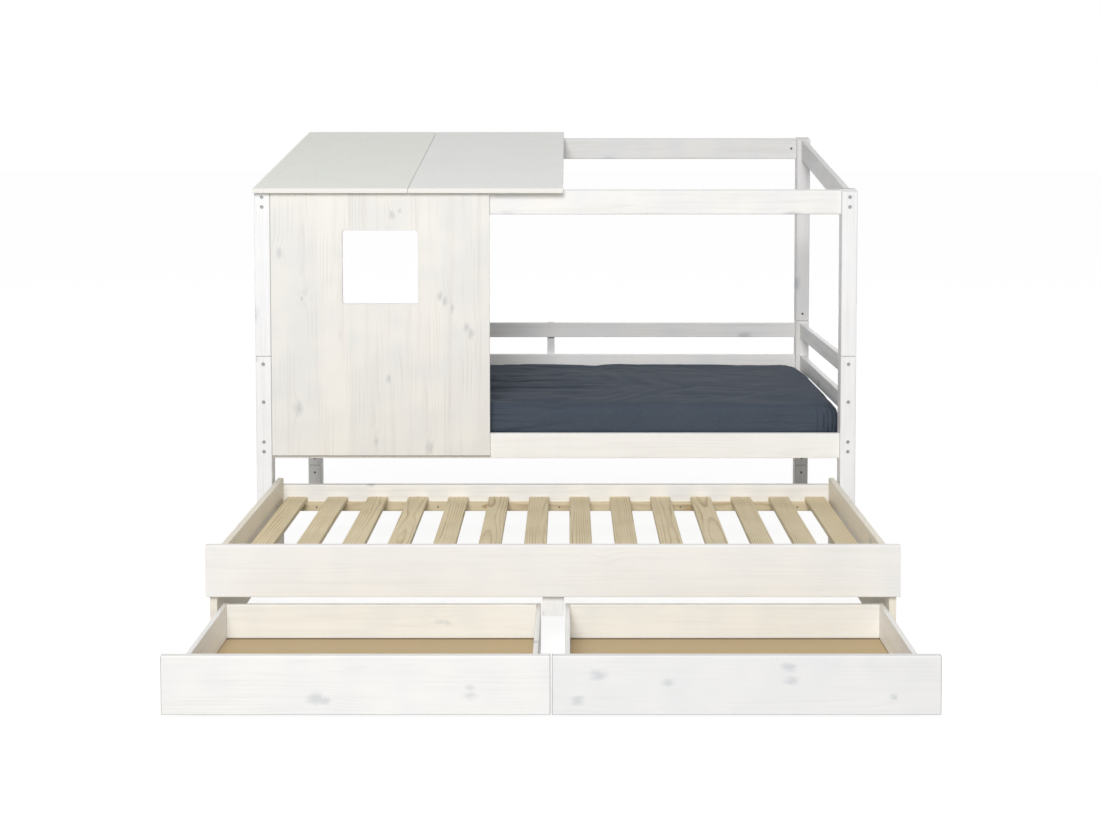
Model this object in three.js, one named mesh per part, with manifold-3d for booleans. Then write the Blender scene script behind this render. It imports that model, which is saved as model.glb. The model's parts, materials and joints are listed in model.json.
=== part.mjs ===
// A child's house bed of white-washed pine, with a roof and a wall with a window over half its length,
// a pull-out guest bed on wheels below it, and two drawers that roll below the guest bed.
// Millimetres, +Z up. It is drawn with the front faces of the posts at y 0 and the floor at z 0.
// The guest bed and the drawers stand pulled out towards -Y.
import * as THREE from 'three';
import { mergeVertices } from 'three/addons/utils/BufferGeometryUtils.js';
import Module from 'manifold-3d';

const wasm = await Module();
wasm.setup();

// Timber and fits
const board = 20;
const edge_ease = 2.5;
const seat_gap = 0.3;
const run_gap = 0.3;
const overrun = 5;
const merge_distance = 0.001;
const ease_steps = 1;
const round_steps = 8;
const head_steps = 16;

// Bed frame
const inside_length = 2007;
const inside_width = 912;
const post_side = 54;
const post_ease = 3.5;
const post_end_ease = 2;
const foot_height = 101;
const lower_post_height = 604;
const front_height = 1276;
const roof_pitch = THREE.MathUtils.degToRad(10.9);
const rail_height = 87;
const rail_bottom = 346;
const top_rail_height = 82;
const guard_height = 60;
const lower_guard_bottom = 503;
const upper_guard_bottom = 635;
const batten_width = 30;
const batten_thickness = 16;
const batten_place = -30;

// Fastener holes
const bolt_radius = 3.5;
const head_radius = 6.4;
const head_depth = 4;
const bolt_spacing = 34;
const guard_bolt_rise = 13;
const nut_radius = 5;
const nut_depth = 15;
const nut_from_end = 22;
const pin_radius = 5;
const pin_height = 30;
const pin_spread = 28;
const cross_hole_from_joint = 30;

// Wall panel with its window
const panel_thickness = 15.5;
const panel_width = 757;
const panel_bottom = 358.5;
const window_width = 262;
const window_height = 255;
const window_from_post = 248;
const window_below_eave = 133;
const window_corner = 9;

// Roof
const roof_thickness = 16;
const roof_front_overhang = 21;
const roof_back_overhang = 33;
const roof_panel_width = 532;
const roof_seam = 1.2;

// Slatted bases
const slat_count = 14;
const slat_width = 70;
const slat_thickness = 17.5;
const slat_end_margin = 14;
const ledger_width = 24;
const ledger_height = 28;
const slat_let_in = 1;
const bed_slat_top = 401;
// The guest bed's last slats stand a little closer together than the others.
const trundle_last_pitch_shares = [0.94, 0.9];

// Mattress
const mattress_gap = 6;
const mattress_height = 129;
const mattress_corner = 48;
const mattress_crown = 10;
const mattress_draw_in = 2;
const mattress_edge = 34;
const mattress_corner_steps = 5;
const mattress_long_steps = 8;
const mattress_short_steps = 4;

// Guest bed, pulled out of the frame by its travel
const trundle_travel = 897;
const trundle_front_height = 148;
const trundle_front_bottom = 165;
const trundle_front_side_gap = 6.3;
const trundle_side_set_in = 7;
const trundle_side_bottom = 16.5;
const trundle_side_height = 257;
const trundle_back_height = 86;
const trundle_back_bottom = 163;
const trundle_inside_width = 908;
const trundle_slat_top = 208;
const guide_width = 61;
const guide_height = 85;
const guide_length = 400;

// Guest bed wheels, let into the lower edges of its sides
const trundle_wheel_radius = 20;
const trundle_wheel_width = 12;
const trundle_axle_radius = 2.5;
const trundle_axle_length = 18;
const trundle_wheel_from_end = 75;
const wheel_chamfer = 1.5;
const wheel_steps = 20;
const wheel_room = 2;

// Drawers, pulled out of the guest bed by their travel
const drawer_travel = 427;
const drawer_front_top_gap = 4.6;
const drawer_bottom = 10;
const drawer_front_gap = 4;
const drawer_length = 472;
const drawer_side_thickness = 13.5;
const drawer_side_height = 123;
const drawer_outer_gap = 10.4;
const drawer_guide_gap = 4.3;
const drawer_floor_thickness = 3;
const drawer_floor_underside = 32.3;
const groove_depth = 5;

// Drawer wheels, on stub axles in the sides, under the drawer's floor
const drawer_wheel_radius = 15.5;
const drawer_wheel_width = 9;
const drawer_axle_radius = 2.5;
const drawer_axle_depth = 8;
const drawer_hub_gap = 0.5;
const drawer_wheel_from_end = 55;

// Places worked out from the sizes above
const post_inset = (post_side - board) / 2;
const half_length = inside_length / 2 + board + post_inset;
const depth = inside_width + 2 * (board + post_inset);
const inner_half = half_length - post_side;
const post_joint = foot_height + lower_post_height;
const slope = Math.tan(roof_pitch);
const rail_inner_y = post_inset + board;
const trundle_front_y = -trundle_travel;
const trundle_half = inner_half - trundle_front_side_gap;
const trundle_side_outer = trundle_half - trundle_side_set_in;
const trundle_side_inner = trundle_side_outer - board;
const trundle_inside_front = trundle_front_y + board;
const trundle_inside_back = trundle_inside_front + trundle_inside_width;
const drawer_front_y = trundle_front_y - drawer_travel;
const drawer_back_y = drawer_front_y + drawer_length;
const drawer_outer = trundle_side_inner - drawer_outer_gap;
const drawer_inner = guide_width / 2 + drawer_guide_gap;
const drawer_front_top = trundle_front_bottom - drawer_front_top_gap;
const roof_back_y = depth + roof_back_overhang;
const roof_length = (roof_front_overhang + roof_back_y) / Math.cos(roof_pitch);
const window_bottom = front_height - window_below_eave - window_height;

const roof_z = (y) => front_height + slope * y;

const whitewash = { color: 0xefede6, roughness: 0.55, metalness: 0 };
const raw_pine = { color: 0xd9c7a0, roughness: 0.65, metalness: 0 };
const hardboard = { color: 0xb79f78, roughness: 0.8, metalness: 0 };
const cover_cloth = { color: 0x3c4957, roughness: 0.95, metalness: 0 };
const wheel_plastic = { color: 0x8d8f90, roughness: 0.5, metalness: 0 };

const directions = {
  x: new THREE.Vector3(1, 0, 0),
  y: new THREE.Vector3(0, 1, 0),
  z: new THREE.Vector3(0, 0, 1),
};
// For each direction of the grain: where a section's width and its height point, then the grain itself.
const section_axes = { x: ['y', 'z', 'x'], y: ['z', 'x', 'y'], z: ['x', 'y', 'z'] };
const ends = [
  { name: 'left', side: -1 },
  { name: 'right', side: 1 },
];

function span(a, b) {
  return [Math.min(a, b), Math.max(a, b)];
}

function rounded_rectangle([left, right], [low, high], radius) {
  const shape = new THREE.Shape();
  const quarter = Math.PI / 2;
  shape.absarc(right - radius, low + radius, radius, -quarter, 0);
  shape.absarc(right - radius, high - radius, radius, 0, quarter);
  shape.absarc(left + radius, high - radius, radius, quarter, 2 * quarter);
  shape.absarc(left + radius, low + radius, radius, 2 * quarter, 3 * quarter);
  return shape;
}

// Turns an extrusion made along z so that it runs along the named direction.
function aim(geometry, grain) {
  const [across, up, along] = section_axes[grain];
  const turn = new THREE.Matrix4();
  turn.makeBasis(directions[across], directions[up], directions[along]);
  return geometry.applyMatrix4(turn);
}

// A planed timber that fills three ranges, with the edges along its grain eased, and its ends too if asked.
function timber(grain, range, ease = edge_ease, end_ease = 0) {
  const [across, up, along] = section_axes[grain];
  const [start, end] = range[along];
  const geometry = new THREE.ExtrudeGeometry(rounded_rectangle(range[across], range[up], ease), {
    depth: end - start - 2 * end_ease,
    bevelEnabled: end_ease > 0,
    bevelThickness: end_ease,
    bevelSize: end_ease,
    bevelOffset: -end_ease,
    bevelSegments: 1,
    curveSegments: ease_steps,
  });
  geometry.translate(0, 0, start + end_ease);
  return aim(geometry, grain);
}

// A round bar along a direction, from one place to another, about the point given by the other two.
function round_bar(along, radius, [start, end], centre, steps = round_steps) {
  const geometry = new THREE.CylinderGeometry(radius, radius, end - start, steps);
  geometry.rotateX(Math.PI / 2);
  aim(geometry, along);
  const place = { ...centre, [along]: (start + end) / 2 };
  return geometry.translate(place.x, place.y, place.z);
}

function solid(geometry) {
  const bare = geometry.clone();
  bare.deleteAttribute('normal');
  bare.deleteAttribute('uv');
  const merged = mergeVertices(bare, merge_distance);
  return new wasm.Manifold(
    new wasm.Mesh({
      numProp: 3,
      vertProperties: new Float32Array(merged.attributes.position.array),
      triVerts: new Uint32Array(merged.index.array),
    }),
  );
}

function geometry_of(manifold) {
  const mesh = manifold.getMesh();
  const geometry = new THREE.BufferGeometry();
  geometry.setAttribute('position', new THREE.BufferAttribute(new Float32Array(mesh.vertProperties), 3));
  geometry.setIndex(new THREE.BufferAttribute(new Uint32Array(mesh.triVerts), 1));
  geometry.computeVertexNormals();
  return geometry;
}

function cut(geometry, cutters) {
  const body = cutters.reduce((left, cutter) => left.subtract(solid(cutter)), solid(geometry));
  return geometry_of(body);
}

function join(geometries) {
  const [first, ...rest] = geometries.map(solid);
  return geometry_of(rest.reduce((joined, next) => joined.add(next), first));
}

// Everything above the roof's underside, to trim what carries the roof.
function above_roof() {
  const reach = roof_length;
  const geometry = new THREE.BoxGeometry(2 * (half_length + reach), depth + 2 * reach, reach);
  geometry.translate(0, depth / 2, reach / 2);
  return lean_with_roof(geometry, front_height);
}

// Shears a piece drawn on the level so that it climbs with the roof, then lifts it.
function lean_with_roof(geometry, lift) {
  const rise = new THREE.Matrix4().set(1, 0, 0, 0, 0, 1, 0, 0, 0, slope, 1, lift, 0, 0, 0, 1);
  return geometry.applyMatrix4(rise);
}

const bed = new THREE.Group();
const trundle = new THREE.Group();

function add(parent, name, geometry, look) {
  const mesh = new THREE.Mesh(geometry, new THREE.MeshStandardMaterial(look));
  mesh.name = name;
  parent.add(mesh);
}

// Bolts go through the posts into the ends of the rails, which hold a barrel nut each.
const rail_middle = rail_bottom + rail_height / 2;
const lower_guard_middle = lower_guard_bottom + guard_height / 2;
const upper_guard_middle = upper_guard_bottom + guard_height / 2;

function bolt_pair(middle) {
  return [middle - bolt_spacing / 2, middle + bolt_spacing / 2];
}

function end_bolt_levels(row) {
  const guards = [lower_guard_middle + guard_bolt_rise, upper_guard_middle + guard_bolt_rise];
  return [...bolt_pair(rail_middle), ...guards, ...bolt_pair(top_rail_middle(row.middle))];
}

function side_bolt_levels(row) {
  const guards = row.guarded ? [lower_guard_middle, upper_guard_middle] : [];
  return [rail_middle, ...guards, top_rail_middle(row.middle)];
}

function top_rail_middle(y) {
  return roof_z(y) - top_rail_height / 2;
}

const rows = [
  { name: 'front', face: 0, inward: 1, guarded: false },
  { name: 'back', face: depth, inward: -1, guarded: true },
].map((row) => ({ ...row, middle: row.face + row.inward * (post_side / 2) }));

// A bolt hole through a post from one of its outer faces, with a recess for the bolt's head.
function bolt_hole(along, face, inward, centre) {
  const outside = face - inward * overrun;
  return [
    round_bar(along, bolt_radius, span(outside, face + inward * (post_side + overrun)), centre),
    round_bar(along, head_radius, span(outside, face + inward * head_depth), centre, head_steps),
  ];
}

function post_cutters(end, row) {
  const x = end.side * (half_length - post_side / 2);
  const y_bolts = end_bolt_levels(row).flatMap((z) => bolt_hole('y', row.face, row.inward, { x, z }));
  const x_face = end.side * half_length;
  const x_bolts = side_bolt_levels(row).flatMap((z) => bolt_hole('x', x_face, -end.side, { y: row.middle, z }));
  const joints = [foot_height, post_joint];
  const crossings = joints.flatMap((z) => [z - cross_hole_from_joint, z + cross_hole_from_joint]);
  const inner_face = row.face + row.inward * post_side;
  const hole = span(inner_face + row.inward * overrun, inner_face - row.inward * nut_depth);
  const cross_holes = crossings.map((z) => round_bar('y', nut_radius, hole, { x, z }));
  return [...y_bolts, ...x_bolts, ...cross_holes];
}

// The pins that line up two pieces of a post, standing on the lower piece.
function joint_pins(end, row, joint, gap) {
  const x = end.side * (half_length - post_side / 2);
  return [-1, 1].map((way) => round_bar(
    'z',
    pin_radius + gap,
    [joint - pin_height, joint + pin_height + gap],
    { x: x + (way * pin_spread) / 2, y: row.middle },
  ));
}

function post_piece(end, row, [low, high], trimmers) {
  const range = {
    x: span(end.side * half_length, end.side * inner_half),
    y: span(row.face, row.face + row.inward * post_side),
    z: [low, high],
  };
  return cut(timber('z', range, post_ease, post_end_ease), trimmers);
}

function add_post(end, row) {
  const holes = post_cutters(end, row);
  const label = `${row.name}_${end.name}`;
  const foot = post_piece(end, row, [0, foot_height], holes);
  const foot_pins = joint_pins(end, row, foot_height, 0);
  const lower_start = foot_height + seat_gap;
  const lower_pockets = joint_pins(end, row, foot_height, seat_gap);
  const lower = post_piece(end, row, [lower_start, post_joint], [...holes, ...lower_pockets]);
  const upper_start = post_joint + seat_gap;
  const upper_pockets = joint_pins(end, row, post_joint, seat_gap);
  const upper_cuts = [...holes, ...upper_pockets, above_roof()];
  add(bed, `foot_${label}`, join([foot, ...foot_pins]), whitewash);
  add(bed, `lower_post_${label}`, join([lower, ...joint_pins(end, row, post_joint, 0)]), whitewash);
  add(bed, `upper_post_${label}`, post_piece(end, row, [upper_start, roof_z(depth)], upper_cuts), whitewash);
}

// Rails along the length, set in the middle of the posts' thickness, with a nut hole near each end. The
// holes open inwards, or outwards where the inner face is in sight above the mattress.
function rail_range(row) {
  const outer = row.face + row.inward * post_inset;
  return span(outer, outer + row.inward * board);
}

function long_rail(row, bottom, height, middle, opens_inwards = true) {
  const range = { x: [seat_gap - inner_half, inner_half - seat_gap], y: rail_range(row), z: [bottom, bottom + height] };
  const way = opens_inwards ? row.inward : -row.inward;
  const open_face = row.face + row.inward * (post_inset + board / 2) + way * (board / 2);
  const hole = span(open_face + way * overrun, open_face - way * nut_depth);
  const nuts = ends.map((end) => {
    const x = end.side * (inner_half - nut_from_end);
    return round_bar('y', nut_radius, hole, { x, z: middle });
  });
  return cut(timber('x', range), [...nuts, above_roof()]);
}

function add_long_rails() {
  for (const row of rows) {
    add(bed, `${row.name}_side_rail`, long_rail(row, rail_bottom, rail_height, rail_middle), whitewash);
    const [outer_y, inner_y] = rail_range(row);
    const top_bottom = roof_z(outer_y) - top_rail_height;
    const height = roof_z(inner_y) - top_bottom;
    const middle = top_rail_middle(row.middle);
    add(bed, `${row.name}_top_rail`, long_rail(row, top_bottom, height, middle), whitewash);
  }
  const back = rows[1];
  const lower = long_rail(back, lower_guard_bottom, guard_height, lower_guard_middle, false);
  const upper = long_rail(back, upper_guard_bottom, guard_height, upper_guard_middle, false);
  add(bed, 'lower_guard_back', lower, whitewash);
  add(bed, 'upper_guard_back', upper, whitewash);
}

// Rails and guards across the ends
function end_range(end) {
  const outer = end.side * (half_length - post_inset);
  return span(outer, outer - end.side * board);
}

function end_rail(end, bottom, height, middles) {
  const [start, stop] = [post_side + seat_gap, depth - post_side - seat_gap];
  const range = { x: end_range(end), y: [start, stop], z: [bottom, bottom + height] };
  return cut(timber('y', range), end_nut_holes(end, middles, middles));
}

function end_nut_holes(end, front_middles, back_middles) {
  const inner = end.side * (half_length - post_inset - board);
  const hole = span(inner - end.side * overrun, inner + end.side * nut_depth);
  const near = post_side + nut_from_end;
  const front = front_middles.map((z) => round_bar('x', nut_radius, hole, { y: near, z }));
  const back = back_middles.map((z) => round_bar('x', nut_radius, hole, { y: depth - near, z }));
  return [...front, ...back];
}

function top_end_rail(end) {
  const [start, stop] = [post_side + seat_gap, depth - post_side - seat_gap];
  const level = timber('y', { x: end_range(end), y: [start, stop], z: [-top_rail_height, 0] });
  const near = post_side + nut_from_end;
  const [front, back] = [near, depth - near].map((y) => bolt_pair(top_rail_middle(y)));
  return cut(lean_with_roof(level, front_height), end_nut_holes(end, front, back));
}

function add_end_rails() {
  for (const end of ends) {
    const lower_nuts = [lower_guard_middle + guard_bolt_rise];
    const upper_nuts = [upper_guard_middle + guard_bolt_rise];
    const lower = end_rail(end, lower_guard_bottom, guard_height, lower_nuts);
    const upper = end_rail(end, upper_guard_bottom, guard_height, upper_nuts);
    add(bed, `end_rail_${end.name}`, end_rail(end, rail_bottom, rail_height, bolt_pair(rail_middle)), whitewash);
    add(bed, `lower_guard_${end.name}`, lower, whitewash);
    add(bed, `upper_guard_${end.name}`, upper, whitewash);
    add(bed, `top_end_rail_${end.name}`, top_end_rail(end), whitewash);
  }
}

// The upright that ties the back guards to the side rail, on their outer faces
function add_batten() {
  const face = depth - post_inset + seat_gap;
  const range = {
    x: [batten_place - batten_width / 2, batten_place + batten_width / 2],
    y: [face, face + batten_thickness],
    z: [rail_bottom, upper_guard_bottom + guard_height],
  };
  add(bed, 'guard_batten', timber('z', range), whitewash);
}

// The wall: one glued board on the outer faces of the front rails, with a window
function add_wall_panel() {
  const left = seat_gap - inner_half;
  const back_y = post_inset - seat_gap;
  const top = roof_z(back_y);
  const outline = new THREE.Shape();
  outline.moveTo(left, panel_bottom);
  outline.lineTo(left + panel_width, panel_bottom);
  outline.lineTo(left + panel_width, top);
  outline.lineTo(left, top);
  outline.closePath();
  const window_left = left + window_from_post;
  outline.holes.push(rounded_rectangle(
    [window_left, window_left + window_width],
    [window_bottom, window_bottom + window_height],
    window_corner,
  ));
  const panel = new THREE.ExtrudeGeometry(outline, {
    depth: panel_thickness,
    bevelEnabled: false,
    curveSegments: 3 * ease_steps,
  });
  panel.rotateX(Math.PI / 2);
  panel.translate(0, back_y, 0);
  add(bed, 'wall_panel', cut(panel, [above_roof()]), whitewash);
}

// The roof: two boards side by side, laid on the sloping tops of the posts and rails
function add_roof() {
  const roof = new THREE.Group();
  roof.position.set(0, -roof_front_overhang, roof_z(-roof_front_overhang) + seat_gap / Math.cos(roof_pitch));
  roof.rotation.x = roof_pitch;
  bed.add(roof);
  ends.forEach((end, index) => {
    const start = index * (roof_panel_width + roof_seam) - half_length;
    const range = { x: [start, start + roof_panel_width], y: [0, roof_length], z: [0, roof_thickness] };
    add(roof, `roof_panel_${end.name}`, timber('y', range), whitewash);
  });
}

// The middles of the slats along the length. All stand at one pitch but the last, whose pitches are given
// as shares of it.
function slat_middles(half, last_pitch_shares) {
  const first = slat_width / 2 + slat_end_margin - half;
  const even_shares = Array(slat_count - 1 - last_pitch_shares.length).fill(1);
  const shares = [...even_shares, ...last_pitch_shares];
  const pitch = (-2 * first) / shares.reduce((sum, share) => sum + share, 0);
  return shares.reduce((middles, share) => [...middles, middles.at(-1) + share * pitch], [first]);
}

// Two ledgers with slats let into them: half is half the inside length, and inside is its range in y.
function slatted_base(half, ledger_half, inside, top, last_pitch_shares = []) {
  const slat_bottom = top - slat_thickness;
  const ledger_z = [slat_bottom - ledger_height, slat_bottom];
  const [front, back] = [inside[0] + seat_gap, inside[1] - seat_gap];
  const ledger_ranges = [[front, front + ledger_width], [back - ledger_width, back]];
  const ledgers = ledger_ranges.map((y) => timber('x', { x: [-ledger_half, ledger_half], y, z: ledger_z }));
  const slats = slat_middles(half, last_pitch_shares).map((middle) => {
    const x = [middle - slat_width / 2, middle + slat_width / 2];
    return timber('y', { x, y: [front, back], z: [slat_bottom - slat_let_in, top] });
  });
  return join([...ledgers, ...slats]);
}

// The mattress: a rounded block whose sides draw in between the corners and whose top is crowned
function mattress_outline(half_x, half_y, inset, draw_in) {
  const corner = mattress_corner - inset;
  const [straight_x, straight_y] = [half_x - mattress_corner, half_y - mattress_corner];
  const points = [];
  const sides = [
    { steps: mattress_short_steps, x: 1, y: 0, half_run: straight_y },
    { steps: mattress_long_steps, x: 0, y: 1, half_run: straight_x },
    { steps: mattress_short_steps, x: -1, y: 0, half_run: straight_y },
    { steps: mattress_long_steps, x: 0, y: -1, half_run: straight_x },
  ];
  sides.forEach((side, index) => {
    for (let step = 1; step < side.steps; step += 1) {
      const along = (2 * step) / side.steps - 1;
      const out = corner - draw_in * (1 - along * along);
      const run = along * side.half_run;
      const x = side.x * (straight_x + out) - side.y * run;
      const y = side.y * (straight_y + out) + side.x * run;
      points.push([x, y]);
    }
    for (let step = 0; step <= mattress_corner_steps; step += 1) {
      const turn = (index + step / mattress_corner_steps) * (Math.PI / 2);
      const corner_x = straight_x * (index === 0 || index === 3 ? 1 : -1);
      const corner_y = straight_y * (index < 2 ? 1 : -1);
      points.push([corner_x + corner * Math.cos(turn), corner_y + corner * Math.sin(turn)]);
    }
  });
  return points;
}

// Each ring of the mattress, from its underside to its crown: how far in, how high, and its scale
function mattress_rings() {
  const quarter = Math.PI / 2;
  const steps = [0, 1, 2, 3].map((step) => (step / 3) * quarter);
  const shoulder = mattress_height - mattress_crown;
  const inset = (turn) => mattress_edge * (1 - Math.sin(turn));
  const low = steps.map((turn) => [inset(turn), mattress_edge * (1 - Math.cos(turn)), 1]);
  const high = [...steps].reverse();
  const top = high.map((turn) => [inset(turn), shoulder - mattress_edge * (1 - Math.cos(turn)), 1]);
  const crown_shares = [0.85, 0.6, 0.3];
  const crown = crown_shares.map((share) => [mattress_edge, mattress_height - mattress_crown * share ** 2, share]);
  return [...low, ...top, ...crown];
}

function mattress() {
  const half_x = inside_length / 2 - mattress_gap;
  const half_y = inside_width / 2 - mattress_gap;
  const positions = [];
  const faces = [];
  const rings = mattress_rings();
  for (const [inset, z, share] of rings) {
    const draw_in = mattress_draw_in * Math.sin((Math.PI * z) / mattress_height);
    for (const [x, y] of mattress_outline(half_x, half_y, inset, draw_in)) {
      positions.push(x * share, y * share, z);
    }
  }
  const count = positions.length / (3 * rings.length);
  const bottom = rings.length * count;
  const top = bottom + 1;
  positions.push(0, 0, 0, 0, 0, mattress_height);
  const last = bottom - count;
  for (let index = 0; index < count; index += 1) {
    const next = (index + 1) % count;
    for (let ring = 0; ring < rings.length - 1; ring += 1) {
      const [a, b] = [ring * count + index, ring * count + next];
      faces.push(a, b, b + count, a, b + count, a + count);
    }
    faces.push(bottom, next, index, top, last + index, last + next);
  }
  const geometry = new THREE.BufferGeometry();
  geometry.setAttribute('position', new THREE.Float32BufferAttribute(positions, 3));
  geometry.setIndex(faces);
  geometry.computeVertexNormals();
  return geometry.translate(0, depth / 2, bed_slat_top + seat_gap);
}

function add_bed_inside() {
  const inside = [rail_inner_y, depth - rail_inner_y];
  const base = slatted_base(inner_half, inner_half - seat_gap, inside, bed_slat_top);
  add(bed, 'bed_slatted_base', base, raw_pine);
  add(bed, 'mattress', mattress(), cover_cloth);
}

// A wheel with its axle, turned about x: from is where the axle starts and to where it ends, both from
// the wheel's middle.
function wheel(radius, width, axle_radius, from, to) {
  const half = width / 2;
  const profile = [
    [0, from],
    [axle_radius, from],
    [axle_radius, -half],
    [radius - wheel_chamfer, -half],
    [radius, wheel_chamfer - half],
    [radius, half - wheel_chamfer],
    [radius - wheel_chamfer, half],
    [axle_radius, half],
    [axle_radius, to],
    [0, to],
  ];
  const points = profile.map(([r, place]) => new THREE.Vector2(r, place));
  const kept = points.filter((point, index) => index === 0 || !point.equals(points[index - 1]));
  const geometry = new THREE.LatheGeometry(kept, wheel_steps);
  return geometry.rotateZ(-Math.PI / 2);
}

// The guest bed
function trundle_wheel_places() {
  return [trundle_inside_front + trundle_wheel_from_end, trundle_inside_back - trundle_wheel_from_end];
}

function trundle_side(end) {
  const x = span(end.side * trundle_side_inner, end.side * trundle_side_outer);
  const y = [trundle_inside_front + seat_gap, trundle_inside_back - seat_gap];
  const z = [trundle_side_bottom, trundle_side_bottom + trundle_side_height];
  const middle = (x[0] + x[1]) / 2;
  const slot_half = trundle_wheel_width / 2 + run_gap;
  const room = trundle_wheel_radius + wheel_room;
  const pocket_half = trundle_axle_length / 2 + run_gap;
  const cutters = trundle_wheel_places().flatMap((place) => {
    const slot = new THREE.BoxGeometry(2 * slot_half, 2 * room, 2 * room);
    slot.translate(middle, place, trundle_wheel_radius);
    const pocket = round_bar(
      'x',
      trundle_axle_radius + run_gap,
      [middle - pocket_half, middle + pocket_half],
      { y: place, z: trundle_wheel_radius },
    );
    return [slot, pocket];
  });
  return cut(timber('y', { x, y, z }), cutters);
}

function add_trundle() {
  const front = {
    x: [-trundle_half, trundle_half],
    y: [trundle_front_y, trundle_inside_front],
    z: [trundle_front_bottom, trundle_front_bottom + trundle_front_height],
  };
  const back = {
    x: [-trundle_side_outer, trundle_side_outer],
    y: [trundle_inside_back, trundle_inside_back + board],
    z: [trundle_back_bottom, trundle_back_bottom + trundle_back_height],
  };
  add(trundle, 'trundle_front', timber('x', front), whitewash);
  add(trundle, 'trundle_back', timber('x', back), whitewash);
  const middle_x = trundle_side_outer - board / 2;
  const half_axle = trundle_axle_length / 2;
  for (const end of ends) {
    add(trundle, `trundle_side_${end.name}`, trundle_side(end), whitewash);
    ['front', 'back'].forEach((row, index) => {
      const turned = wheel(trundle_wheel_radius, trundle_wheel_width, trundle_axle_radius, -half_axle, half_axle);
      turned.translate(end.side * middle_x, trundle_wheel_places()[index], trundle_wheel_radius);
      add(trundle, `trundle_wheel_${row}_${end.name}`, turned, wheel_plastic);
    });
  }
  const inside = [trundle_inside_front, trundle_inside_back];
  const ledger_half = trundle_side_inner - seat_gap;
  const base = slatted_base(
    trundle_side_inner,
    ledger_half,
    inside,
    trundle_slat_top,
    trundle_last_pitch_shares,
  );
  add(trundle, 'trundle_slatted_base', base, raw_pine);
  add_guide();
}

// The block between the drawers, behind the front panel and under the slats, notched for the ledger
function add_guide() {
  const top = trundle_slat_top - slat_thickness - slat_let_in - seat_gap;
  const start = trundle_inside_front + seat_gap;
  const guide = timber('y', {
    x: [-guide_width / 2, guide_width / 2],
    y: [start, start + guide_length],
    z: [top - guide_height, top],
  });
  const notch_back = start + ledger_width + 2 * seat_gap;
  const notch_bottom = trundle_slat_top - slat_thickness - ledger_height - seat_gap;
  const notch = new THREE.BoxGeometry(guide_width + 2 * overrun, ledger_width + overrun, ledger_height + overrun);
  notch.translate(
    0,
    notch_back - (ledger_width + overrun) / 2,
    notch_bottom + (ledger_height + overrun) / 2,
  );
  add(trundle, 'drawer_guide', cut(guide, [notch]), whitewash);
}

// The drawers
function drawer_wheel_places() {
  return [drawer_front_y + board + drawer_wheel_from_end, drawer_back_y - drawer_wheel_from_end];
}

function drawer_floor_groove(x, y) {
  const z_low = drawer_floor_underside - seat_gap;
  const z_high = drawer_floor_underside + drawer_floor_thickness + seat_gap;
  const groove = new THREE.BoxGeometry(x[1] - x[0], y[1] - y[0], z_high - z_low);
  return groove.translate((x[0] + x[1]) / 2, (y[0] + y[1]) / 2, (z_low + z_high) / 2);
}

// One side of a drawer: face is the x of its outer face, and way points from it into the drawer.
function drawer_side(face, way) {
  const inner = face + way * drawer_side_thickness;
  const y = [drawer_front_y + board + seat_gap, drawer_back_y];
  const range = { x: span(face, inner), y, z: [drawer_bottom, drawer_bottom + drawer_side_height] };
  const groove_x = span(inner + way * overrun, inner - way * (groove_depth + seat_gap));
  const groove = drawer_floor_groove(groove_x, [y[0] - overrun, y[1] + overrun]);
  const pocket = span(inner + way * overrun, inner - way * (drawer_axle_depth + run_gap));
  const pockets = drawer_wheel_places().map((place) => round_bar(
    'x',
    drawer_axle_radius + run_gap,
    pocket,
    { y: place, z: drawer_wheel_radius },
  ));
  return cut(timber('y', range), [groove, ...pockets]);
}

function drawer_wheel(inner, way, place) {
  const half = drawer_wheel_width / 2;
  const reach = half + drawer_hub_gap + drawer_axle_depth;
  const axle = way > 0 ? [-reach, half] : [-half, reach];
  const turned = wheel(drawer_wheel_radius, drawer_wheel_width, drawer_axle_radius, ...axle);
  return turned.translate(inner + way * (drawer_hub_gap + half), place, drawer_wheel_radius);
}

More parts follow.
